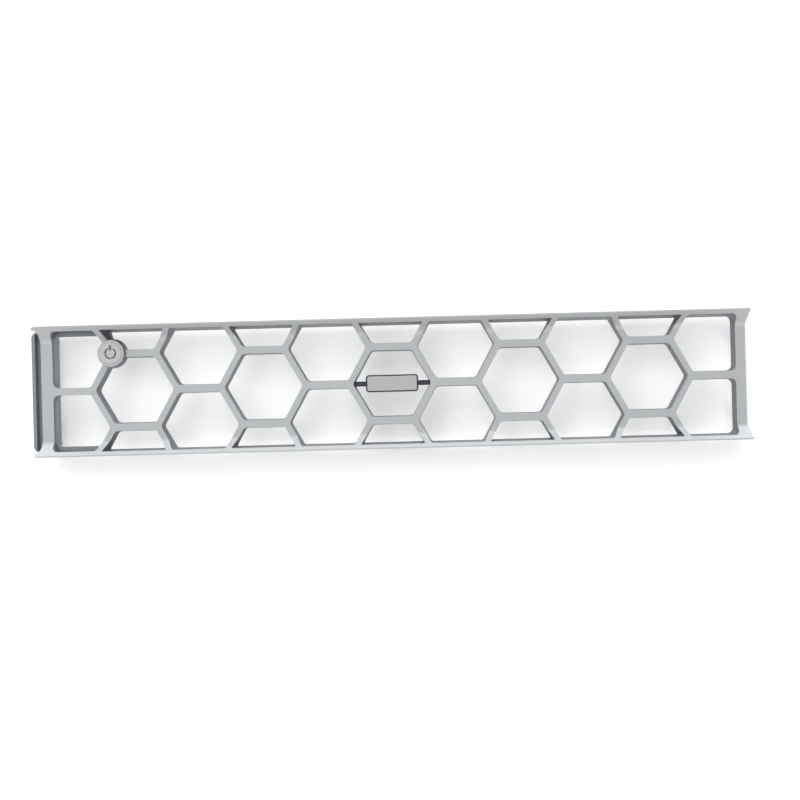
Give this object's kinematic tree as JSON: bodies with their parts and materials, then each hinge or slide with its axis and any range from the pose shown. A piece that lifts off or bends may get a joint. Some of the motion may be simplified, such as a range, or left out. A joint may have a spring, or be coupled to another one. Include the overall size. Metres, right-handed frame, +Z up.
{
  "type": "server front bezel",
  "caption": "Silver honeycomb front bezel for a rack server, with raised rails, a side release lever, rear hooks and a key lock that throws a dead bolt.",
  "frame": {"origin": "centre of the plane in which the backs of the rails meet the chassis, on the middle cell's axis", "axes": "+X along the length towards the end with fixed hooks, +Y into the chassis, +Z up; the front looks along -Y"},
  "size_m": [0.4663, 0.0354, 0.0844],
  "materials": {
    "silver_paint": "satin silver paint on a die casting",
    "dark_plastic": "near-black satin plastic",
    "badge_silver": "brushed silver plate",
    "housing_plastic": "blue-grey moulded plastic",
    "lever_plastic": "grey moulded plastic",
    "zinc_steel": "zinc-plated sheet steel",
    "screw_steel": "bright zinc-plated screws",
    "spring_steel": "drawn spring wire",
    "lock_nickel": "satin nickel plate",
    "pin_brass": "brass"
  },
  "bodies": {
    "frame": {"front_frame": "silver_paint", "badge_bar": "dark_plastic", "badge_carrier": "dark_plastic", "badge_plate": "badge_silver", "badge_screws": "screw_steel", "latch_housing": "housing_plastic", "latch_cover": "zinc_steel", "housing_screws": "screw_steel", "spring_upper": "spring_steel", "spring_lower": "spring_steel", "lock_barrel": "lock_nickel", "lock_retainer": "zinc_steel", "lock_washer": "zinc_steel", "lock_nut": "lock_nickel", "hook_bracket": "zinc_steel", "bracket_screws": "screw_steel"},
    "lever": {"release_lever": "lever_plastic", "latch_plate": "zinc_steel", "latch_screws": "screw_steel"},
    "lock": {"lock_plug": "lock_nickel", "lock_pins": "pin_brass", "lock_cam": "zinc_steel", "cam_screw": "screw_steel"},
    "bolt": {"lock_bar": "zinc_steel"}
  },
  "joints": [
    {"name": "lever_press", "type": "slide", "parent": "frame", "child": "lever", "axis": [1, 0, 0], "range_m": [0, 0.0032], "stiffness_N_per_m": 900, "springref_m": -0.003, "deforming": ["spring_upper", "spring_lower"]},
    {"name": "lock_turn", "type": "hinge", "parent": "frame", "child": "lock", "pos_m": [-0.18135, 0, 0.024], "axis": [0, 1, 0], "range_deg": [0, 90]},
    {"name": "bolt_slide", "type": "slide", "parent": "frame", "child": "bolt", "axis": [1, 0, 0], "range_m": [0, 0.00848]}
  ],
  "couplings": [
    {"joint": "lock_turn", "follows": "bolt_slide", "rad_per_m": 185.12}
  ]
}
